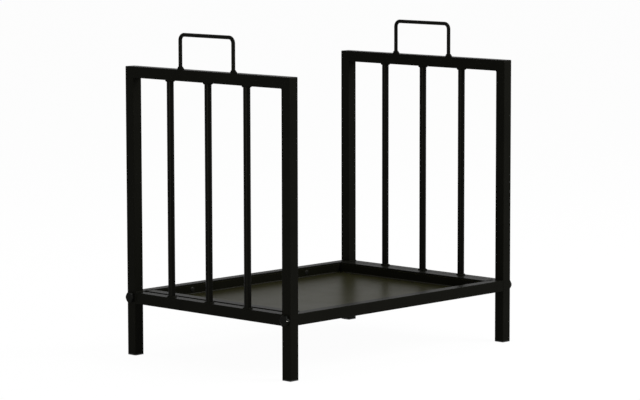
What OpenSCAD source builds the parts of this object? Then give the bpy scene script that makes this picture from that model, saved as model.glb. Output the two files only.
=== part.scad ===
// Firewood rack: two welded end frames and a log tray bolted between them.
// Millimetres. The origin is on the floor, at the middle of the four feet.
// X runs along the rack, the open front is at -Y, and Z points up.

/* [End frames] */
// Length over the outer faces of the two end frames
rack_length = 576; // [420:1:720]
// Depth over the outer faces of the legs
rack_depth = 407; // [330:1:520]
// Height of the top rails' upper face above the floor
frame_height = 517; // [300:1:700]
// Side of the square tube
tube_side = 20; // [18:0.5:25]
// Wall of the square tube
tube_wall = 1; // [0.8:0.1:1.1]
// Outer corner radius of the square tube
tube_radius = 1.2; // [1.2:0.1:3]
// Radius ground on the outer corner of each mitre
mitre_round = 2.5; // [1:0.1:2.6]
// Height of the lower rails' centre line above the floor
lower_rail_z = 103.5; // [60:0.5:160]
// Step from the tubes' -X faces in to the bars and the handles, which are welded nearly flush with them
face_inset = 0.4; // [0.3:0.1:2]

/* [Bars] */
// Diameter of the round bars in the end frames
bar_diameter = 12.5; // [8:0.5:14]

/* [Handles] */
// Diameter of the handle rod
handle_diameter = 6.8; // [5:0.1:10]
// Distance between the centre lines of a handle's two uprights
handle_span = 131; // [110:1:160]
// Height of the rod's top above the top rail
handle_rise = 64.3; // [50:0.1:80]
// Bend radius of the rod, at its centre line
handle_bend = 10; // [8:0.5:25]

/* [Tray frame] */
// How far the tray's rails sit above the lower rails of the end frames
tray_lift = 0.8; // [0:0.1:5]
// Step from the legs' outer faces in to the tray's long rails
rail_step = 0.5; // [0:0.1:2]
// Slot between each end rail of the tray and the lower rail beside it
end_slot = 4; // [2:0.5:10]

/* [Floor pan] */
// Thickness of the folded sheet
sheet = 1.5; // [1:0.1:2]
// Inside radius of the sheet's folds
fold_radius = 2; // [1:0.1:3]
// Height of the pan's upturned edges above its underside
pan_height = 17; // [15:0.5:18]

/* [Bolts and nuts] */
// Thread diameter of the tray bolts
bolt_diameter = 10; // [8:0.5:11]
// Width across the flats of a bolt head
head_flats = 17; // [15:0.5:18]
// Height of a bolt head
head_height = 6.4; // [4:0.1:8]
// Length of a bolt under its head
bolt_length = 35; // [30:1:45]
// Length of the threaded block in each rail end
nut_length = 12; // [8:1:20]
// Depth of that block inside the rail's cut end
nut_setback = 1; // [0.5:0.1:3]

/* [Rivets] */
// Shank diameter of the floor rivets
rivet_diameter = 3.2; // [3:0.1:5]
// Diameter of a rivet's wide domed head
rivet_head = 9.5; // [8:0.1:10]
// Height of a rivet's domed head
rivet_dome = 1.3; // [1:0.1:2.5]
// Distance of the rivets from the middle of the rack
rivet_offset = 149; // [100:1:160]

/* [Feet] */
// Thickness of a foot plug under the leg
foot_pad = 2; // [1:0.5:5]
// Depth of a foot plug inside the leg
foot_depth = 16; // [10:1:25]
// Wall of a foot plug's stem, and thickness of its ribs
foot_wall = 1.5; // [1:0.1:2]

/* [Clearances] */
// Gap around a piece that sits inside a tube or a frame
fit_gap = 0.3; // [0.2:0.05:0.5]
// Radial gap around a bolt
bolt_gap = 0.4; // [0.2:0.05:0.6]
// Radial gap around a rivet's shank
rivet_gap = 0.1; // [0.05:0.05:0.2]

/* [Hidden] */
$fn = 48;

COAT = "#1c1c1a";
PLATED = "#2a2a28";
PLASTIC = "#111111";

LEFT = -1;
RIGHT = 1;
FRONT = -1;
BACK = 1;

// Centre lines of the end frames and of their legs
frame_x = (rack_length - tube_side) / 2;
leg_y = (rack_depth - tube_side) / 2;
// Free width inside an end frame, and free length between the two frames
frame_inside = rack_depth - 2 * tube_side;
between_frames = rack_length - 2 * tube_side;
// Hollow of the tube
tube_bore = tube_side - 2 * tube_wall;
bore_radius = tube_radius - tube_wall;

// The three bars leave four equal gaps in the end frame
bar_pitch = (frame_inside - 3 * bar_diameter) / 4 + bar_diameter;
bar_base = lower_rail_z + tube_side / 2;
bar_top = frame_height - tube_side;

// Centre lines of the tray's rails
tray_z = lower_rail_z + tray_lift;
long_rail_y = rack_depth / 2 - rail_step - tube_side / 2;
end_rail_x = between_frames / 2 - end_slot - tube_side / 2;
end_rail_length = 2 * long_rail_y - tube_side;

// The pan lies level with the underside of the tray's rails
pan_length = 2 * end_rail_x - tube_side - 2 * fit_gap;
pan_width = end_rail_length - 2 * fit_gap;
pan_base = tray_z - tube_side / 2;
fold_outer = fold_radius + sheet;

bolt_bore = bolt_diameter + 2 * bolt_gap;
rivet_bore = rivet_diameter + 2 * rivet_gap;
// Corner distance of a hexagon from its flats
head_corners = head_flats / cos(30);
// A bolt head's chamfer falls 30 degrees from a circle inside its flats
chamfer_circle = 0.9 * head_flats;
chamfer_slope = tan(30);

// The bulb that a blind rivet forms behind the rail's wall, and its swell over the shank
bulb_length = 5;
bulb_swell = 1.6;

// Ribs around the stem of a foot plug
rib_count = 3;
rib_pitch = foot_depth / (rib_count + 1);

// Longer than any cut through the tube
reach = 4 * tube_side;

// A square with round corners, centred
module round_square(side, radius) {
    square([side, side - 2 * radius], center = true);
    square([side - 2 * radius, side], center = true);
    for (x = [-1, 1], y = [-1, 1]) {
        translate([x, y] * (side / 2 - radius)) circle(r = radius);
    }
}

// The square tube, standing on its cut end
module tube(length) {
    linear_extrude(length) difference() {
        round_square(tube_side, tube_radius);
        round_square(tube_bore, bore_radius);
    }
}

// A tube that lies along Y, centred
module tube_along_y(length) {
    translate([0, -length / 2, 0]) rotate([-90, 0, 0]) tube(length);
}

// A tube that lies along X, centred
module tube_along_x(length) {
    translate([-length / 2, 0, 0]) rotate([0, 90, 0]) tube(length);
}

// Half space above (up = 1) or below (up = -1) the mitre at the front top corner
module mitre_side(up) {
    translate([0, -rack_depth / 2, frame_height]) rotate([-45, 0, 0])
        translate([0, 0, up * reach / 2]) cube(reach, center = true);
}

// What is ground off the outer corner of the front mitre
module ground_corner() {
    translate([0, -rack_depth / 2, frame_height]) rotate([90, 0, 90])
        linear_extrude(2 * tube_side, center = true) difference() {
            square(2 * mitre_round, center = true);
            translate([mitre_round, -mitre_round]) circle(r = mitre_round);
        }
}

// A leg of the frame at the given side, with the two holes for its tray bolt
module leg(side, end) {
    color(COAT) translate([side * frame_x, 0, 0]) mirror([0, end == BACK ? 1 : 0, 0]) difference() {
        translate([0, -leg_y, foot_pad]) tube(frame_height - foot_pad);
        mitre_side(1);
        ground_corner();
        translate([-tube_side, -long_rail_y, tray_z]) rotate([0, 90, 0])
            cylinder(d = bolt_bore, h = 2 * tube_side);
    }
}

module top_rail(side) {
    color(COAT) translate([side * frame_x, 0, 0]) difference() {
        translate([0, 0, frame_height - tube_side / 2]) tube_along_y(rack_depth);
        for (flip = [0, 1]) mirror([0, flip, 0]) {
            mitre_side(-1);
            ground_corner();
        }
    }
}

module lower_rail(side) {
    color(COAT) translate([side * frame_x, 0, lower_rail_z]) tube_along_y(frame_inside);
}

// Centre line of a round member of the given diameter that stands near the tubes' -X faces
function flush_x(side, diameter) = side * frame_x - (tube_side - diameter) / 2 + face_inset;

// A bar at -1 (front), 0 (middle) or 1 (back), standing on the lower rail
module bar(side, place) {
    color(COAT) translate([flush_x(side, bar_diameter), place * bar_pitch, bar_base])
        cylinder(d = bar_diameter, h = bar_top - bar_base);
}

// One upright of the handle at -Y, with its bend and half of the grip
module half_handle() {
    grip_z = handle_rise - handle_diameter / 2;
    bend_z = grip_z - handle_bend;
    bend_y = -handle_span / 2 + handle_bend;
    translate([0, -handle_span / 2, 0]) cylinder(d = handle_diameter, h = bend_z);
    translate([0, bend_y, bend_z]) rotate([90, 0, -90]) rotate_extrude(angle = 90)
        translate([handle_bend, 0]) circle(d = handle_diameter);
    translate([0, bend_y, grip_z]) rotate([-90, 0, 0]) cylinder(d = handle_diameter, h = -bend_y);
}

module handle(side) {
    color(COAT) translate([flush_x(side, handle_diameter), 0, frame_height]) {
        half_handle();
        mirror([0, 1, 0]) half_handle();
    }
}

// A long rail of the tray, with holes for the floor rivets in its inner wall
module long_rail(end) {
    color(COAT) mirror([0, end == BACK ? 1 : 0, 0]) translate([0, -long_rail_y, tray_z]) difference() {
        tube_along_x(between_frames);
        for (side = [LEFT, RIGHT]) translate([side * rivet_offset, 0, 0]) rotate([-90, 0, 0])
            cylinder(d = rivet_bore, h = tube_side);
    }
}

module end_rail(side) {
    color(COAT) translate([side * end_rail_x, 0, tray_z]) tube_along_y(end_rail_length);
}

// Cross-section of the pan: a flat floor with both edges folded up
module pan_section(width) {
    translate([0, sheet / 2]) square([width - 2 * fold_outer, sheet], center = true);
    for (flip = [0, 1]) mirror([flip, 0]) translate([width / 2 - fold_outer, fold_outer]) {
        difference() {
            intersection() {
                circle(r = fold_outer);
                translate([0, -fold_outer]) square(fold_outer);
            }
            circle(r = fold_radius);
        }
        translate([fold_radius, 0]) square([sheet, pan_height - fold_outer]);
    }
}

// The pan is cut as a cross and folded, which leaves an open notch at each corner
module tray_floor() {
    color(COAT) translate([0, 0, pan_base]) difference() {
        union() {
            rotate([90, 0, 90]) linear_extrude(pan_length - 2 * fold_outer, center = true)
                pan_section(pan_width);
            rotate([90, 0, 0]) linear_extrude(pan_width - 2 * fold_outer, center = true)
                pan_section(pan_length);
        }
        for (side = [LEFT, RIGHT]) translate([side * rivet_offset, 0, tube_side / 2]) rotate([90, 0, 0])
            cylinder(d = rivet_bore, h = rack_depth, center = true);
    }
}

// A hexagon-head bolt whose head stands on z = 0, with two of its corners along Y
module hex_bolt() {
    intersection() {
        rotate(90) cylinder(d = head_corners, h = head_height, $fn = 6);
        cylinder(r1 = chamfer_circle / 2 + head_height / chamfer_slope, r2 = chamfer_circle / 2,
                 h = head_height);
    }
    translate([0, 0, -bolt_length]) cylinder(d = bolt_diameter, h = bolt_length);
}

// Runs its children at the four places where a tray bolt goes in, with +Z pointing out of the rack
module at_bolts(from_middle) {
    for (side = [LEFT, RIGHT], end = [FRONT, BACK])
        translate([side * from_middle, end * long_rail_y, tray_z]) rotate([0, side * 90, 0]) children();
}

module tray_bolts() {
    color(PLATED) at_bolts(rack_length / 2) hex_bolt();
}

module rail_nuts() {
    nut_side = tube_bore - 2 * fit_gap;
    color(PLATED) at_bolts(between_frames / 2 - nut_setback - nut_length) difference() {
        linear_extrude(nut_length) round_square(nut_side, bore_radius);
        cylinder(d = bolt_bore, h = 2 * reach, center = true);
    }
}

// A blind rivet: a shallow dome on the pan's edge, and the formed bulb inside the rail
module rivet() {
    grip = sheet + fit_gap + tube_wall;
    dome_radius = (rivet_head * rivet_head / 4 + rivet_dome * rivet_dome) / (2 * rivet_dome);
    intersection() {
        translate([0, 0, rivet_dome - dome_radius]) sphere(r = dome_radius);
        cylinder(d = rivet_head, h = rivet_dome);
    }
    translate([0, 0, -grip]) cylinder(d = rivet_diameter, h = grip);
    translate([0, 0, -grip - bulb_length]) cylinder(d = rivet_diameter + bulb_swell, h = bulb_length);
}

module floor_rivets() {
    color(PLATED) for (side = [LEFT, RIGHT], flip = [0, 1]) mirror([0, flip, 0])
        translate([side * rivet_offset, sheet - pan_width / 2, tray_z]) rotate([-90, 0, 0]) rivet();
}

// A plug with a flat pad under the leg and a hollow, ribbed stem inside it
module foot(side, end) {
    stem = tube_bore - 2 * fit_gap;
    core = stem - 2 * foot_wall;
    color(PLASTIC) translate([side * frame_x, end * leg_y, 0]) {
        linear_extrude(foot_pad) round_square(tube_side, tube_radius);
        translate([0, 0, foot_pad]) linear_extrude(foot_depth) difference() {
            square(core, center = true);
            square(core - 2 * foot_wall, center = true);
        }
        for (rib = [1:rib_count]) translate([0, 0, foot_pad + rib * rib_pitch])
            linear_extrude(foot_wall) difference() {
                round_square(stem, bore_radius);
                square(core - 2 * foot_wall, center = true);
            }
    }
}

leg(LEFT, FRONT);  // left_front_leg
leg(LEFT, BACK);  // left_back_leg
leg(RIGHT, FRONT);  // right_front_leg
leg(RIGHT, BACK);  // right_back_leg
top_rail(LEFT);  // left_top_rail
top_rail(RIGHT);  // right_top_rail
lower_rail(LEFT);  // left_lower_rail
lower_rail(RIGHT);  // right_lower_rail
bar(LEFT, -1);  // left_front_bar
bar(LEFT, 0);  // left_middle_bar
bar(LEFT, 1);  // left_back_bar
bar(RIGHT, -1);  // right_front_bar
bar(RIGHT, 0);  // right_middle_bar
bar(RIGHT, 1);  // right_back_bar
handle(LEFT);  // left_handle
handle(RIGHT);  // right_handle
long_rail(FRONT);  // tray_front_rail
long_rail(BACK);  // tray_back_rail
end_rail(LEFT);  // tray_left_rail
end_rail(RIGHT);  // tray_right_rail
tray_floor();
tray_bolts();
rail_nuts();
floor_rivets();
foot(LEFT, FRONT);  // left_front_foot
foot(LEFT, BACK);  // left_back_foot
foot(RIGHT, FRONT);  // right_front_foot
foot(RIGHT, BACK);  // right_back_foot
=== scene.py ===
import math

import bmesh
import bpy
from mathutils import Matrix, Vector


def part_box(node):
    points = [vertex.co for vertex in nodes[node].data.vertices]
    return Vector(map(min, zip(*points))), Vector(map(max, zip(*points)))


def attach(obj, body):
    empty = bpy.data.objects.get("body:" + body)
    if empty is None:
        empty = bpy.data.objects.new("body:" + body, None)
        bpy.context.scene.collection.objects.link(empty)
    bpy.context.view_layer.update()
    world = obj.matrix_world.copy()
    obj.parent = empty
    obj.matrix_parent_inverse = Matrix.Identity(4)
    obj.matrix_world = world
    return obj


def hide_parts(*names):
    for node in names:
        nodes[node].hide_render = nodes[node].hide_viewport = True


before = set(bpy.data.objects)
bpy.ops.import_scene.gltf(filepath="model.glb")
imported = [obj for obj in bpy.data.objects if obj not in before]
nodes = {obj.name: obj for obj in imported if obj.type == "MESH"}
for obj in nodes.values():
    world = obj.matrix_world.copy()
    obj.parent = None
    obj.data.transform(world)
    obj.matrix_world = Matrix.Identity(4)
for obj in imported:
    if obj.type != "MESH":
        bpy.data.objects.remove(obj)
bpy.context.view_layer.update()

# Legs and rails of the two end frames: 20 mm square steel tube with rounded corners.
# They are welded in a jig, and the whole frame is then sprayed with black polyester powder
# and baked, so that one semi-gloss film covers tube, bars and welds.
frame_tubes = [
    "left_front_leg", "left_back_leg", "right_front_leg", "right_back_leg",
    "left_top_rail", "right_top_rail", "left_lower_rail", "right_lower_rail",
]
MM = 0.001
COAT_CLOUD = 40 * MM
COAT_IOR = 1.5
COAT_SHINE = "#fffce1"
ROUGHNESS_SPREAD = 0.03
PEEL_PITCH = 2 * MM
PEEL_HEIGHT = 0.004 * MM


def linear(hex_colour):
    """An sRGB hex colour as linear red, green and blue, with full alpha."""
    channels = [int(hex_colour[i:i + 2], 16) / 255 for i in (1, 3, 5)]
    return (*[c / 12.92 if c <= 0.04045 else ((c + 0.055) / 1.055) ** 2.4 for c in channels], 1.0)


def add_node(tree, kind, inputs=None, **settings):
    """A new node with its settings. inputs gives a socket its value, or the socket that feeds it."""
    node = tree.nodes.new(kind)
    for name, value in settings.items():
        setattr(node, name, value)
    for key, value in (inputs or {}).items():
        if isinstance(value, bpy.types.NodeSocket):
            tree.links.new(value, node.inputs[key])
        else:
            node.inputs[key].default_value = value
    return node


def blank_material(name):
    """A new material and its node tree, still empty."""
    material = bpy.data.materials.new(name)
    material.use_nodes = True
    material.node_tree.nodes.clear()
    return material, material.node_tree


def powder_coat(name, dark, light, roughness, gloss, wave, wave_height):
    """Black polyester powder coat: a near-black film with a soft shine that blurs what it reflects.
    The eye gets a faint orange peel, 2 mm from crest to crest, and slower waves of the metal below."""
    material, tree = blank_material(name)
    place = add_node(tree, "ShaderNodeTexCoord").outputs["Object"]
    cloud = add_node(tree, "ShaderNodeTexNoise", {"Vector": place, "Scale": 1 / COAT_CLOUD, "Detail": 3.0})
    colour = add_node(tree, "ShaderNodeMix", {
        "Factor": cloud.outputs["Fac"], "A": linear(dark), "B": linear(light)}, data_type="RGBA")
    shine = add_node(tree, "ShaderNodeMapRange", {
        "Value": cloud.outputs["Fac"],
        "To Min": roughness - ROUGHNESS_SPREAD, "To Max": roughness + ROUGHNESS_SPREAD})
    slow = add_node(tree, "ShaderNodeTexNoise", {"Vector": place, "Scale": 1 / wave, "Detail": 1.0})
    slow_bump = add_node(tree, "ShaderNodeBump", {"Height": slow.outputs["Fac"], "Distance": wave_height})
    peel = add_node(tree, "ShaderNodeTexNoise", {"Vector": place, "Scale": 1 / PEEL_PITCH, "Detail": 1.0})
    peel_bump = add_node(tree, "ShaderNodeBump", {
        "Height": peel.outputs["Fac"], "Distance": PEEL_HEIGHT, "Normal": slow_bump.outputs["Normal"]})
    coat = add_node(tree, "ShaderNodeBsdfPrincipled", {
        "Base Color": colour.outputs["Result"],
        "Roughness": shine.outputs["Result"],
        "Normal": peel_bump.outputs["Normal"],
        "IOR": COAT_IOR,
        "Specular IOR Level": gloss,
        "Specular Tint": linear(COAT_SHINE),
    })
    add_node(tree, "ShaderNodeOutputMaterial", {"Surface": coat.outputs["BSDF"]})
    return material


def finish_in(material, names):
    """Gives each of these CAD nodes the material in all its slots."""
    for name in names:
        for slot in nodes[name].material_slots:
            slot.material = material


frame_coat = powder_coat(
    "black powder coat on tube", "#090907", "#0d0d0a",
    roughness=0.36, gloss=0.011, wave=60 * MM, wave_height=0.05 * MM)
finish_in(frame_coat, frame_tubes)

# Bars of the end frames: 12.5 mm round steel rod, three to a side, cut square and welded between
# the lower and the top rail. Each frame is welded flat on a table, so its bars lie nearly flush
# with the tubes' faces on one side. The coat lies smoother on the drawn rod than on the tube.
bars = [f"{side}_{place}_bar" for side in ("left", "right") for place in ("front", "middle", "back")]
rod_coat = powder_coat(
    "black powder coat on rod", "#070706", "#0b0b09",
    roughness=0.3, gloss=0.02, wave=60 * MM, wave_height=0.02 * MM)
finish_in(rod_coat, bars)

# Handles: 6.8 mm round steel rod, bent twice on a former and stood on the top rails.
# Each foot is welded all round, and the handle is coated together with its frame.
handles = ["left_handle", "right_handle"]
HANDLE_RADIUS = 3.4 * MM
finish_in(rod_coat, handles)

# Weld beads of the end frames: each is a row of small overlapping ripples that a welder's
# hand leaves along the joint. The coat rounds them over, so they show as soft uneven fillets.
RIPPLE_PITCH = 1.8 * MM
RIPPLE_SHARE = 0.07
RIPPLE_STEPS = 4
WANDER = 0.5 * MM
WANDER_PITCH = 7 * MM
NOISE_MIDDLE = (0.5, 0.5, 0.5)
BEAD_SIDES = 10


def geometry_tree(name, inputs):
    """A new Geometry Nodes tree, the identifiers of its named inputs, and what its input node gives."""
    tree = bpy.data.node_groups.new(name, "GeometryNodeTree")
    tree.interface.new_socket("Geometry", in_out="INPUT", socket_type="NodeSocketGeometry")
    sockets = {
        title: tree.interface.new_socket(title, in_out="INPUT", socket_type=kind).identifier
        for title, kind in inputs.items()
    }
    tree.interface.new_socket("Geometry", in_out="OUTPUT", socket_type="NodeSocketGeometry")
    return tree, sockets, add_node(tree, "NodeGroupInput").outputs


bead_tree, bead_sockets, given = geometry_tree("weld bead along a joint", {
    "Bead Radius": "NodeSocketFloat", "Ripple Pitch": "NodeSocketFloat", "Ripple Share": "NodeSocketFloat",
    "Wander": "NodeSocketFloat", "Seed": "NodeSocketInt", "Finish": "NodeSocketMaterial",
})
path = add_node(bead_tree, "GeometryNodeMeshToCurve", {"Mesh": given["Geometry"]})
step = add_node(bead_tree, "ShaderNodeMath", {
    0: given["Ripple Pitch"], 1: RIPPLE_STEPS}, operation="DIVIDE")
points = add_node(bead_tree, "GeometryNodeResampleCurve", {
    "Curve": path.outputs["Curve"], "Length": step.outputs["Value"]}, mode="LENGTH")
hand = add_node(bead_tree, "ShaderNodeTexNoise", {
    "Scale": 1 / WANDER_PITCH, "W": given["Seed"]}, noise_dimensions="4D")
off = add_node(bead_tree, "ShaderNodeVectorMath", {
    0: hand.outputs["Color"], 1: NOISE_MIDDLE}, operation="SUBTRACT")
shift = add_node(bead_tree, "ShaderNodeVectorMath", {
    0: off.outputs["Vector"], "Scale": given["Wander"]}, operation="SCALE")
moved = add_node(bead_tree, "GeometryNodeSetPosition", {
    "Geometry": points.outputs["Curve"], "Offset": shift.outputs["Vector"]})
number = add_node(bead_tree, "GeometryNodeInputIndex").outputs["Index"]
turn = add_node(bead_tree, "ShaderNodeMath", {
    0: number, 1: 2 * math.pi / RIPPLE_STEPS}, operation="MULTIPLY")
wave = add_node(bead_tree, "ShaderNodeMath", {0: turn.outputs["Value"]}, operation="SINE")
swell = add_node(bead_tree, "ShaderNodeMath", {
    0: wave.outputs["Value"], 1: given["Ripple Share"], 2: 1.0}, operation="MULTIPLY_ADD")
thick = add_node(bead_tree, "ShaderNodeMath", {
    0: swell.outputs["Value"], 1: given["Bead Radius"]}, operation="MULTIPLY")
section = add_node(bead_tree, "GeometryNodeCurvePrimitiveCircle", {"Resolution": BEAD_SIDES, "Radius": 1.0})
bead = add_node(bead_tree, "GeometryNodeCurveToMesh", {
    "Curve": moved.outputs["Geometry"], "Profile Curve": section.outputs["Curve"],
    "Scale": thick.outputs["Value"], "Fill Caps": True})
smooth = add_node(bead_tree, "GeometryNodeSetShadeSmooth", {"Geometry": bead.outputs["Mesh"]})
real = add_node(bead_tree, "GeometryNodeRealizeInstances", {"Geometry": smooth.outputs["Geometry"]})
dressed = add_node(bead_tree, "GeometryNodeSetMaterial", {
    "Geometry": real.outputs["Geometry"], "Material": given["Finish"]})
add_node(bead_tree, "NodeGroupOutput", {"Geometry": dressed.outputs["Geometry"]})


def grown_mesh(name, start_mesh, tree, sockets, values):
    """Runs a node tree over a starting mesh and returns its result as a plain object that rides the rack."""
    start = bpy.data.objects.new(name + "_start", start_mesh)
    bpy.context.scene.collection.objects.link(start)
    modifier = start.modifiers.new(name, "NODES")
    modifier.node_group = tree
    for key, value in values.items():
        modifier[sockets[key]] = value
    graph = bpy.context.evaluated_depsgraph_get()
    mesh = bpy.data.meshes.new_from_object(start.evaluated_get(graph), depsgraph=graph)
    start.modifiers.remove(modifier)
    bpy.data.objects.remove(start)
    mesh.name = name
    piece = bpy.data.objects.new(name, mesh)
    bpy.context.scene.collection.objects.link(piece)
    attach(piece, "root")
    return piece


def weld(name, paths, radius, seed):
    """Weld beads along paths, each a list of points and whether it closes on itself."""
    mesh = bpy.data.meshes.new(name + "_paths")
    corners, edges = [], []
    for line, closed in paths:
        first = len(corners)
        corners += line
        edges += [(first + i, first + i + 1) for i in range(len(line) - 1)]
        if closed:
            edges.append((len(corners) - 1, first))
    mesh.from_pydata(corners, edges, [])
    piece = grown_mesh(name, mesh, bead_tree, bead_sockets, {
        "Bead Radius": radius, "Ripple Pitch": RIPPLE_PITCH, "Ripple Share": RIPPLE_SHARE,
        "Wander": WANDER, "Seed": seed, "Finish": frame_coat})


# Where the beads run: OUT from the rod's side, ALONG the rod from its end, and INSIDE the tube's face.
# A handle's foot has a second, thinner bead, its toe, where the weld runs up the rod.
BAR_OUT = 0.4 * MM
BAR_ALONG = 0.5 * MM
BAR_INSIDE = 1.8 * MM
BAR_SIDES = 24
FOOT_OUT = 0.9 * MM
FOOT_ALONG = 0.9 * MM
FOOT_INSIDE = 2.1 * MM
TOE_OUT = 0.1 * MM
TOE_ALONG = 3.8 * MM
TOE_INSIDE = 1.4 * MM
HANDLE_SIDES = 16
# Round a rail's end: how far a bead lies beside the joint, sinks into the rail and cuts its corners.
# CORNER_REACH is half the length of the bead under each top corner.
TUBE_HALF = 10 * MM
BESIDE_JOINT = 0.2 * MM
RAIL_SUNK = 0.9 * MM
LOOP_CORNER = 1.2 * MM
CORNER_REACH = 8 * MM


def even_turns(sides):
    """The angles of this many even steps round an axis."""
    return [2 * math.pi * i / sides for i in range(sides)]


def ring(x, y, z, radius, least_x, sides):
    """A closed level circle of points, flattened where it would pass the tube's face at -X."""
    line = [
        Vector((max(x + radius * math.cos(t), least_x), y + radius * math.sin(t), z))
        for t in even_turns(sides)]
    return line, True


def rail_loop(x, y, z, half_x, half_z):
    """A closed loop round a rail's end, in the plane across Y, with its corners taken off."""
    near_x, near_z = half_x - LOOP_CORNER, half_z - LOOP_CORNER
    outline = [(half_x, near_z), (near_x, half_z), (-near_x, half_z), (-half_x, near_z),
               (-half_x, -near_z), (-near_x, -half_z), (near_x, -half_z), (half_x, -near_z)]
    return [Vector((x + along, y, z + up)) for along, up in outline], True


bar_rings, foot_rings, toe_rings, rail_loops, corner_lines = [], [], [], [], []
for name in bars:
    low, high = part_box(name)
    middle, radius = (low + high) / 2, (high.x - low.x) / 2 + BAR_OUT
    least_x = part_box(name.split("_")[0] + "_lower_rail")[0].x + BAR_INSIDE
    for z in (low.z + BAR_ALONG, high.z - BAR_ALONG):
        bar_rings.append(ring(middle.x, middle.y, z, radius, least_x, BAR_SIDES))
for name in handles:
    low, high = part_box(name)
    x = (low.x + high.x) / 2
    face_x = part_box(name.split("_")[0] + "_top_rail")[0].x
    for y in (low.y + HANDLE_RADIUS, high.y - HANDLE_RADIUS):
        foot_rings.append(ring(
            x, y, low.z + FOOT_ALONG, HANDLE_RADIUS + FOOT_OUT, face_x + FOOT_INSIDE, HANDLE_SIDES))
        toe_rings.append(ring(
            x, y, low.z + TOE_ALONG, HANDLE_RADIUS + TOE_OUT, face_x + TOE_INSIDE, HANDLE_SIDES))
for side in ("left", "right"):
    low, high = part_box(f"{side}_lower_rail")
    middle = (low + high) / 2
    for y in (low.y + BESIDE_JOINT, high.y - BESIDE_JOINT):
        rail_loops.append(rail_loop(middle.x, y, middle.z, TUBE_HALF - RAIL_SUNK, TUBE_HALF + BESIDE_JOINT))
    low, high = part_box(f"{side}_top_rail")
    for y in (low.y + 2 * TUBE_HALF + BESIDE_JOINT, high.y - 2 * TUBE_HALF - BESIDE_JOINT):
        line = [Vector((middle.x + x, y, low.z - BESIDE_JOINT)) for x in (-CORNER_REACH, CORNER_REACH)]
        corner_lines.append((line, False))

weld("bar_welds", bar_rings, radius=2.1 * MM, seed=3)
weld("handle_welds", foot_rings, radius=2.3 * MM, seed=5)
weld("handle_weld_toes", toe_rings, radius=1.5 * MM, seed=6)
weld("rail_welds", rail_loops, radius=1.7 * MM, seed=7)
weld("corner_welds", corner_lines, radius=1.3 * MM, seed=11)

# Rails of the log tray: the same square tube, welded into a flat ring of two long rails
# and two end rails, and coated like the end frames before the rack is put together.
tray_rails = ["tray_front_rail", "tray_back_rail", "tray_left_rail", "tray_right_rail"]
TRAY_BESIDE_JOINT = 0.3 * MM
TRAY_SUNK = 0.9 * MM
finish_in(frame_coat, tray_rails)

tray_loops = []
for name in ("tray_left_rail", "tray_right_rail"):
    low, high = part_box(name)
    middle = (low + high) / 2
    for y in (low.y + TRAY_BESIDE_JOINT, high.y - TRAY_BESIDE_JOINT):
        tray_loops.append(rail_loop(middle.x, y, middle.z, TUBE_HALF, TUBE_HALF - TRAY_SUNK))
weld("tray_welds", tray_loops, radius=1.6 * MM, seed=13)

# Floor pan of the tray: 1.5 mm steel sheet, cut as a cross and folded up at its four edges.
# It has the frame's powder coat, and the flat sheet has the slow waves that folding leaves.
SHEET = 1.5 * MM
# The coat's gloss is linked below, and the value given here stays where an export drops that link.
pan_coat = powder_coat(
    "black powder coat on sheet", "#090906", "#0e0e0a",
    roughness=0.345, gloss=0.02, wave=120 * MM, wave_height=0.4 * MM)
finish_in(pan_coat, ["tray_floor"])

# Over the inside of its folds the gloss is raised, which paints a fine highlight line there.
# The extra gloss comes in and fades out between these heights above the sheet.
PAN_GLOSS = 0.015
FOLD_HIGHLIGHT_GLOSS = 0.04
FOLD_HIGHLIGHT_START = (0.1 * MM, 0.4 * MM)
FOLD_HIGHLIGHT_END = (1.4 * MM, 2.2 * MM)
pan_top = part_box("tray_floor")[0].z + SHEET
pan_tree = pan_coat.node_tree
pan_shader = next(node for node in pan_tree.nodes if node.type == "BSDF_PRINCIPLED")
pan_place = add_node(pan_tree, "ShaderNodeTexCoord").outputs["Object"]
pan_height = add_node(pan_tree, "ShaderNodeSeparateXYZ", {"Vector": pan_place}).outputs["Z"]
fold_highlight_start = add_node(pan_tree, "ShaderNodeMapRange", {
    "Value": pan_height, "From Min": pan_top + FOLD_HIGHLIGHT_START[0], "From Max": pan_top + FOLD_HIGHLIGHT_START[1]})
fold_highlight_end = add_node(pan_tree, "ShaderNodeMapRange", {
    "Value": pan_height, "From Min": pan_top + FOLD_HIGHLIGHT_END[0], "From Max": pan_top + FOLD_HIGHLIGHT_END[1],
    "To Min": FOLD_HIGHLIGHT_GLOSS, "To Max": 0.0})
# The pan's own gloss plus the painted highlight along the folds.
gloss_with_fold_highlight = add_node(pan_tree, "ShaderNodeMath", {
    0: fold_highlight_start.outputs["Result"], 1: fold_highlight_end.outputs["Result"], 2: PAN_GLOSS}, operation="MULTIPLY_ADD")
pan_tree.links.new(gloss_with_fold_highlight.outputs["Value"], pan_shader.inputs["Specular IOR Level"])
# A breath of dust lies on the sheet and warms its shine where it is seen at a low angle.
pan_shader.inputs["Sheen Weight"].default_value = 0.025
pan_shader.inputs["Sheen Roughness"].default_value = 0.4
pan_shader.inputs["Sheen Tint"].default_value = linear("#fff97c")

# Tray bolts: M10 hexagon-head bolts of black zinc-plated steel, one through each leg into the
# end of a long rail. They are forged. Light grey metal is painted on some chamfer corners
# as painted glints on the heads.
FORGE_GRAIN = 1.5 * MM
FORGE_HEIGHT = 0.04 * MM
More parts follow.
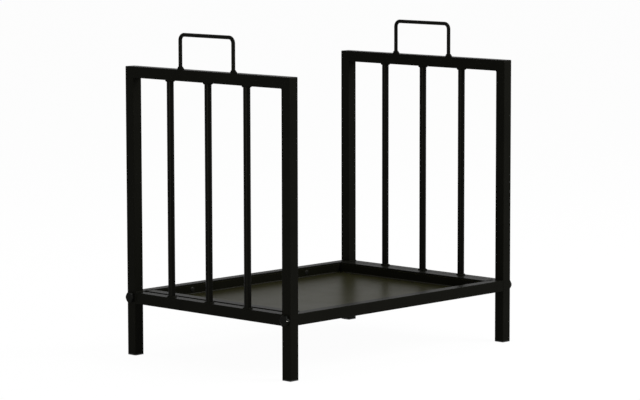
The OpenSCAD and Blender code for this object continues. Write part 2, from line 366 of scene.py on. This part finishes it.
# Size and seed of the noise that picks which corners get a painted glint.
GLINT_PATCH = 9 * MM
GLINT_SEED = 1.0
bolt_steel, bolt_nodes = blank_material("black zinc-plated steel")
bolt_place = add_node(bolt_nodes, "ShaderNodeTexCoord").outputs["Object"]
forge = add_node(bolt_nodes, "ShaderNodeTexNoise", {
    "Vector": bolt_place, "Scale": 1 / FORGE_GRAIN, "Detail": 2.0})
forge_bump = add_node(bolt_nodes, "ShaderNodeBump", {
    "Height": forge.outputs["Fac"], "Distance": FORGE_HEIGHT})
bolt_shine = add_node(bolt_nodes, "ShaderNodeMapRange", {
    "Value": forge.outputs["Fac"], "To Min": 0.22, "To Max": 0.36})
painted_glint = add_node(bolt_nodes, "ShaderNodeAttribute", attribute_name="painted_glint")
glint_patch_noise = add_node(bolt_nodes, "ShaderNodeTexNoise", {
    "Vector": bolt_place, "W": GLINT_SEED, "Scale": 1 / GLINT_PATCH, "Detail": 1.0}, noise_dimensions="4D")
glint_at = add_node(bolt_nodes, "ShaderNodeMath", {
    0: painted_glint.outputs["Fac"], 1: glint_patch_noise.outputs["Fac"]}, operation="MULTIPLY")
# Where this mask is high the colour turns to light grey metal, a painted glint on the head's corners.
glint_mask = add_node(bolt_nodes, "ShaderNodeMapRange", {
    "Value": glint_at.outputs["Value"], "From Min": 0.5, "From Max": 0.54})
bolt_colour_and_glint = add_node(bolt_nodes, "ShaderNodeMix", {
    "Factor": glint_mask.outputs["Result"], "A": linear("#0d0d0b"), "B": linear("#96958f")}, data_type="RGBA")
bolt_shader = add_node(bolt_nodes, "ShaderNodeBsdfPrincipled", {
    "Base Color": bolt_colour_and_glint.outputs["Result"], "Metallic": glint_mask.outputs["Result"],
    "Roughness": bolt_shine.outputs["Result"], "Specular IOR Level": 0.02,
    "Normal": forge_bump.outputs["Normal"]})
add_node(bolt_nodes, "ShaderNodeOutputMaterial", {"Surface": bolt_shader.outputs["BSDF"]})

HEAD_FLATS = 17 * MM
HEAD_HEIGHT = 6.4 * MM
HEAD_CHAMFER = math.radians(30)
HEAD_FOOT_SHARE = 0.98
HEAD_FOOT_HEIGHT = 0.4 * MM
HEAD_TOP_SHARE = 0.9
HEAD_TOP_EDGE = 0.1 * MM
HEAD_DISH_SHARE = 0.5
HEAD_DISH_DEPTH = 0.05 * MM
HEAD_SIDES = 72
# How strong the painted glint is at each of the six corners.
CORNER_GLINT = (0.5, 0.5, 0.5, 0.5, 1.0, 0.9)
SHANK_RADIUS = 5 * MM
SHANK_SIDES = 24
THREAD_PITCH = 1.5 * MM
THREAD_DEPTH = 0.9 * MM
THREAD_STEPS = 4
BOLT_LENGTH = 35 * MM
SHARP_ANGLE = math.radians(25)


def lathe(name, rings):
    """A closed mesh from rings of points, all of one length, joined by quads from first to last."""
    mesh = bpy.data.meshes.new(name)
    work = bmesh.new()
    made = [[work.verts.new(p) for p in points] for points in rings]
    for lower, upper in zip(made, made[1:]):
        for i in range(len(lower)):
            j = (i + 1) % len(lower)
            work.faces.new((lower[i], lower[j], upper[j], upper[i]))
    work.faces.new(reversed(made[0]))
    work.faces.new(made[-1])
    bmesh.ops.recalc_face_normals(work, faces=work.faces)
    work.to_mesh(mesh)
    work.free()
    mesh.shade_smooth()
    mesh.set_sharp_from_angle(angle=SHARP_ANGLE)
    return mesh


def round_point(radius, turn, z):
    """The point at this radius, angle and height round the Z axis."""
    return Vector((radius * math.cos(turn), radius * math.sin(turn), z))


def circle(radius, z, sides):
    """A level circle of points round the Z axis."""
    return [round_point(radius, t, z) for t in even_turns(sides)]


def hexagon_reach(turn):
    """Distance from the axis to the hexagon's sides at this angle, with a corner on +Y."""
    return HEAD_FLATS / 2 / math.cos((turn + math.pi / 6) % (math.pi / 3) - math.pi / 6)


def thread_radius(turn, z):
    """Radius of the threaded shank: a V groove that winds once round in each pitch."""
    phase = (z / THREAD_PITCH + turn / (2 * math.pi)) % 1
    return SHANK_RADIUS - THREAD_DEPTH * abs(2 * phase - 1)


head_turns = even_turns(HEAD_SIDES)
rim = HEAD_TOP_SHARE * HEAD_FLATS / 2
side_top = [HEAD_HEIGHT - max(hexagon_reach(t) - rim, 0) * math.tan(HEAD_CHAMFER) for t in head_turns]
head_rings = [
    circle(HEAD_FLATS / 2 * HEAD_FOOT_SHARE, 0, HEAD_SIDES),
    [round_point(hexagon_reach(t), t, HEAD_FOOT_HEIGHT) for t in head_turns],
    [round_point(hexagon_reach(t), t, z) for t, z in zip(head_turns, side_top)],
    circle(rim - HEAD_TOP_EDGE, HEAD_HEIGHT, HEAD_SIDES),
    circle(rim * HEAD_DISH_SHARE, HEAD_HEIGHT - HEAD_DISH_DEPTH, HEAD_SIDES),
]
thread_rows = round(THREAD_STEPS * BOLT_LENGTH / THREAD_PITCH)
shank_rings = [
    [round_point(thread_radius(t, z), t, z) for t in even_turns(SHANK_SIDES)]
    for z in (-BOLT_LENGTH + i * BOLT_LENGTH / thread_rows for i in range(thread_rows + 1))
]
bolt_mesh = lathe("bolt_head", head_rings)
shank_mesh = lathe("bolt_shank", shank_rings)
joined = bmesh.new()
joined.from_mesh(bolt_mesh)
joined.from_mesh(shank_mesh)
joined.to_mesh(bolt_mesh)
joined.free()

# This attribute marks the painted glints. It lies on the two rings that bound the chamfer and is highest
# at the corners, and the list of six says how strong the painted glint is at each corner.
painted_glint_values = bolt_mesh.attributes.new("painted_glint", "FLOAT", "POINT")
corner_gain = HEAD_FLATS / 2 / math.cos(math.pi / 6) - HEAD_FLATS / 2
for ring_number in (2, 3):
    for i, turn in enumerate(head_turns):
        near_corner = (hexagon_reach(turn) - HEAD_FLATS / 2) / corner_gain
        glint_share = CORNER_GLINT[int(turn / (math.pi / 3))]
        painted_glint_values.data[ring_number * HEAD_SIDES + i].value = near_corner * glint_share
bolt_pattern = bpy.data.objects.new("bolt_pattern", bolt_mesh)

place_tree, place_sockets, asked = geometry_tree("fastener on each point", {
    "Pattern": "NodeSocketObject", "Finish": "NodeSocketMaterial"})
pattern = add_node(place_tree, "GeometryNodeObjectInfo", {"Object": asked["Pattern"], "As Instance": True})
facing = add_node(place_tree, "GeometryNodeInputNamedAttribute", {"Name": "facing"}, data_type="FLOAT_VECTOR")
aligned = add_node(place_tree, "FunctionNodeAlignRotationToVector", {
    "Vector": facing.outputs["Attribute"]}, axis="Z")
copies = add_node(place_tree, "GeometryNodeInstanceOnPoints", {
    "Points": asked["Geometry"], "Instance": pattern.outputs["Geometry"],
    "Rotation": aligned.outputs["Rotation"]})
solid = add_node(place_tree, "GeometryNodeRealizeInstances", {"Geometry": copies.outputs["Instances"]})
plated = add_node(place_tree, "GeometryNodeSetMaterial", {
    "Geometry": solid.outputs["Geometry"], "Material": asked["Finish"]})
add_node(place_tree, "NodeGroupOutput", {"Geometry": plated.outputs["Geometry"]})


def fasteners(name, pattern_object, places, finish):
    """A copy of the pattern at each place, with its axis along the direction given there."""
    bpy.context.scene.collection.objects.link(pattern_object)
    mesh = bpy.data.meshes.new(name + "_places")
    mesh.from_pydata([at for at, _ in places], [], [])
    facing_values = mesh.attributes.new("facing", "FLOAT_VECTOR", "POINT")
    facing_values.data.foreach_set("vector", [c for _, way in places for c in way])
    piece = grown_mesh(name, mesh, place_tree, place_sockets, {"Pattern": pattern_object, "Finish": finish})
    bpy.data.objects.remove(pattern_object)
    return piece


four_corners = [(side, end) for side in (-1, 1) for end in (-1, 1)]
bolt_low, bolt_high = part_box("tray_bolts")
bolt_reach = bolt_high.x - HEAD_HEIGHT
bolt_z = (bolt_low.z + bolt_high.z) / 2
rail_low, rail_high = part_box("tray_back_rail")
bolt_y = (rail_low.y + rail_high.y) / 2
bolt_places = [((side * bolt_reach, end * bolt_y, bolt_z), (side, 0, 0)) for side, end in four_corners]
tray_bolts = fasteners("tray_bolt_set", bolt_pattern, bolt_places, bolt_steel)
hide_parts("tray_bolts")

# Threaded blocks: zinc-plated steel, pressed and welded into the open ends of the long rails.
# They are hidden inside the tube and take the threads of the tray bolts. In an open view the
# eye would get a bright grey whose shine varies softly from crystal to crystal.
ZINC_CRYSTAL = 3 * MM
zinc, zinc_nodes = blank_material("bright zinc-plated steel")
zinc_place = add_node(zinc_nodes, "ShaderNodeTexCoord").outputs["Object"]
spangle = add_node(zinc_nodes, "ShaderNodeTexNoise", {
    "Vector": zinc_place, "Scale": 1 / ZINC_CRYSTAL, "Detail": 2.0})
zinc_shine = add_node(zinc_nodes, "ShaderNodeMapRange", {
    "Value": spangle.outputs["Fac"], "To Min": 0.28, "To Max": 0.42})
zinc_shader = add_node(zinc_nodes, "ShaderNodeBsdfPrincipled", {
    "Base Color": linear("#b9bcc0"), "Metallic": 1.0, "Roughness": zinc_shine.outputs["Result"]})
add_node(zinc_nodes, "ShaderNodeOutputMaterial", {"Surface": zinc_shader.outputs["BSDF"]})
finish_in(zinc, ["rail_nuts"])

# Floor rivets: wide-headed blind rivets of black-painted aluminium that hold the pan's
# long edges to the rails. The pulled pin leaves a small round dimple in the middle of each
# head. The paint is smoother and shinier than the powder coat.
RIVET_HEAD = 4.75 * MM
RIVET_DOME = 1.3 * MM
RIVET_EDGE_SHARE = 0.15
RIVET_PIN = 1.1 * MM
RIVET_PIN_TAPER = 0.9
RIVET_PIN_DEPTH = 0.6 * MM
RIVET_SHANK = 1.6 * MM
RIVET_GRIP = 2.8 * MM
RIVET_BULB = 5 * MM
RIVET_FLARE = 0.8 * MM
RIVET_SIDES = 32
rivet_paint = powder_coat(
    "black paint on aluminium", "#10100f", "#161614",
    roughness=0.26, gloss=0.06, wave=20 * MM, wave_height=0.01 * MM)

rivet_profile = [
    (RIVET_SHANK, -RIVET_GRIP - RIVET_BULB),
    (RIVET_SHANK + RIVET_FLARE, -RIVET_GRIP - RIVET_BULB + RIVET_FLARE),
    (RIVET_SHANK + RIVET_FLARE, -RIVET_GRIP),
    (RIVET_SHANK, -RIVET_GRIP),
    (RIVET_SHANK, 0),
    (RIVET_HEAD, 0),
    *[(RIVET_HEAD * math.cos(a), RIVET_DOME * (RIVET_EDGE_SHARE + (1 - RIVET_EDGE_SHARE) * math.sin(a)))
      for a in (math.radians(degrees) for degrees in range(0, 80, 10))],
    (RIVET_PIN, RIVET_DOME),
    (RIVET_PIN * RIVET_PIN_TAPER, RIVET_DOME - RIVET_PIN_DEPTH),
]
rivet_mesh = lathe("rivet", [circle(radius, z, RIVET_SIDES) for radius, z in rivet_profile])
rivet_pattern = bpy.data.objects.new("rivet_pattern", rivet_mesh)
rivet_low, rivet_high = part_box("floor_rivets")
rivet_x = rivet_high.x - RIVET_HEAD
rivet_z = (rivet_low.z + rivet_high.z) / 2
pan_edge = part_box("tray_floor")[1].y - SHEET
rivet_places = [((side * rivet_x, end * pan_edge, rivet_z), (0, -end, 0)) for side, end in four_corners]
floor_rivets = fasteners("floor_rivet_set", rivet_pattern, rivet_places, rivet_paint)
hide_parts("floor_rivets")

# Feet: ribbed plugs of black low-density polyethylene, injection-moulded and pushed
# into the open leg ends. The moulded pad is matt and slightly grained.
MOULD_GRAIN = 0.8 * MM
MOULD_GRAIN_HEIGHT = 0.03 * MM
plastic, plastic_nodes = blank_material("moulded black polyethylene")
plastic_place = add_node(plastic_nodes, "ShaderNodeTexCoord").outputs["Object"]
grain = add_node(plastic_nodes, "ShaderNodeTexNoise", {
    "Vector": plastic_place, "Scale": 1 / MOULD_GRAIN, "Detail": 2.0})
grain_bump = add_node(plastic_nodes, "ShaderNodeBump", {
    "Height": grain.outputs["Fac"], "Distance": MOULD_GRAIN_HEIGHT})
plastic_shader = add_node(plastic_nodes, "ShaderNodeBsdfPrincipled", {
    "Base Color": linear("#121211"), "Roughness": 0.6, "Specular IOR Level": 0.3,
    "Normal": grain_bump.outputs["Normal"]})
add_node(plastic_nodes, "ShaderNodeOutputMaterial", {"Surface": plastic_shader.outputs["BSDF"]})
finish_in(plastic, ["left_front_foot", "left_back_foot", "right_front_foot", "right_back_foot"])

# Floor and backdrop: a plain white studio surface without an edge in view. The camera sees
# it nearly all in its own white, mixed with a little of its lit surface, which keeps the
# soft shadow of the rack.
FLOOR_HALF = 30.0
FLOOR_OWN_WHITE = 0.97


def seen_directly(tree):
    """1 for a ray from the camera or from a shiny or clear surface, and 0 for one that brings light."""
    ray = add_node(tree, "ShaderNodeLightPath").outputs
    camera_or_glossy = add_node(tree, "ShaderNodeMath", {
        0: ray["Is Camera Ray"], 1: ray["Is Glossy Ray"]}, operation="MAXIMUM")
    any_of_them = add_node(tree, "ShaderNodeMath", {
        0: camera_or_glossy.outputs["Value"], 1: ray["Is Transmission Ray"]}, operation="MAXIMUM")
    return any_of_them.outputs["Value"]


floor_mesh = bpy.data.meshes.new("studio_floor")
floor_corners = [(x * FLOOR_HALF, y * FLOOR_HALF, 0) for x, y in ((-1, -1), (1, -1), (1, 1), (-1, 1))]
floor_mesh.from_pydata(floor_corners, [], [(0, 1, 2, 3)])
studio_floor = bpy.data.objects.new("studio_floor", floor_mesh)
bpy.context.scene.collection.objects.link(studio_floor)
floor_paint, floor_nodes = blank_material("white studio floor")
matt = add_node(floor_nodes, "ShaderNodeBsdfDiffuse", {"Color": linear("#e6e6e6")})
glow = add_node(floor_nodes, "ShaderNodeEmission", {"Color": linear("#ffffff"), "Strength": 1.0})
seen_floor = add_node(floor_nodes, "ShaderNodeMixShader", {
    "Fac": FLOOR_OWN_WHITE, 1: matt.outputs["BSDF"], 2: glow.outputs["Emission"]})
floor_look = add_node(floor_nodes, "ShaderNodeMixShader", {
    "Fac": seen_directly(floor_nodes), 1: matt.outputs["BSDF"], 2: seen_floor.outputs["Shader"]})
add_node(floor_nodes, "ShaderNodeOutputMaterial", {"Surface": floor_look.outputs["Shader"]})
floor_mesh.materials.append(floor_paint)

# Studio light: an even surround, which is white where it is seen, with large softboxes in front
# of the rack and above it. A low strip to the left draws a soft line along the rods.
SURROUND_LIGHT = 0.36
LAMPS_AIM_AT = Vector((0, 0, 0.25))
world = bpy.data.worlds.new("white studio")
world.use_nodes = True
bpy.context.scene.world = world
sky = world.node_tree
sky.nodes.clear()
surround = add_node(sky, "ShaderNodeBackground", {"Color": linear("#ffffff"), "Strength": SURROUND_LIGHT})
white = add_node(sky, "ShaderNodeBackground", {"Color": linear("#ffffff"), "Strength": 1.0})
both = add_node(sky, "ShaderNodeMixShader", {
    "Fac": seen_directly(sky), 1: surround.outputs["Background"], 2: white.outputs["Background"]})
add_node(sky, "ShaderNodeOutputWorld", {"Surface": both.outputs["Shader"]})

softboxes = {
    "front_softbox": {"at": (1.6, -2.4, 2.2), "width": 1.8, "height": 1.8, "watts": 168},
    "top_softbox": {"at": (-0.3, 0.6, 2.8), "width": 1.8, "height": 1.8, "watts": 40},
    "side_softbox": {"at": (-3.9, -1.42, 0.29), "width": 1.4, "height": 0.5, "watts": 66},
}
for name, softbox in softboxes.items():
    lamp = bpy.data.lights.new(name, "AREA")
    lamp.shape = "RECTANGLE"
    lamp.size = softbox["width"]
    lamp.size_y = softbox["height"]
    lamp.energy = softbox["watts"]
    holder = bpy.data.objects.new(name, lamp)
    holder.location = softbox["at"]
    holder.rotation_euler = (LAMPS_AIM_AT - holder.location).to_track_quat("-Z", "Y").to_euler()
    bpy.context.scene.collection.objects.link(holder)

# Camera: a long lens a little above the rack, at the photograph's viewing angle. Its place,
# turn and focal length come from the outlines of the legs, rails, bars and handles.
CAMERA_PLACE = Vector((-3.80199, -3.64512, 0.88899))
CAMERA_YAW = math.radians(46.186)
CAMERA_PITCH = math.radians(-6.7086)
CAMERA_ROLL = math.radians(-0.1129)
SENSOR_WIDTH = 36.0
FOCAL_LENGTH = 165.52
SIGHT = 100.0
ahead = Vector((
    math.sin(CAMERA_YAW) * math.cos(CAMERA_PITCH),
    math.cos(CAMERA_YAW) * math.cos(CAMERA_PITCH),
    math.sin(CAMERA_PITCH)))
level_right = ahead.cross(Vector((0, 0, 1))).normalized()
level_up = level_right.cross(ahead)
right = level_right * math.cos(CAMERA_ROLL) + level_up * math.sin(CAMERA_ROLL)
up = level_up * math.cos(CAMERA_ROLL) - level_right * math.sin(CAMERA_ROLL)
lens = bpy.data.cameras.new("camera")
lens.sensor_width = SENSOR_WIDTH
lens.lens = FOCAL_LENGTH
lens.clip_end = SIGHT
camera = bpy.data.objects.new("camera", lens)
camera.matrix_world = Matrix((
    (right.x, up.x, -ahead.x, CAMERA_PLACE.x),
    (right.y, up.y, -ahead.y, CAMERA_PLACE.y),
    (right.z, up.z, -ahead.z, CAMERA_PLACE.z),
    (0, 0, 0, 1)))
bpy.context.scene.collection.objects.link(camera)
bpy.context.scene.camera = camera
bpy.context.scene.view_settings.view_transform = "Standard"
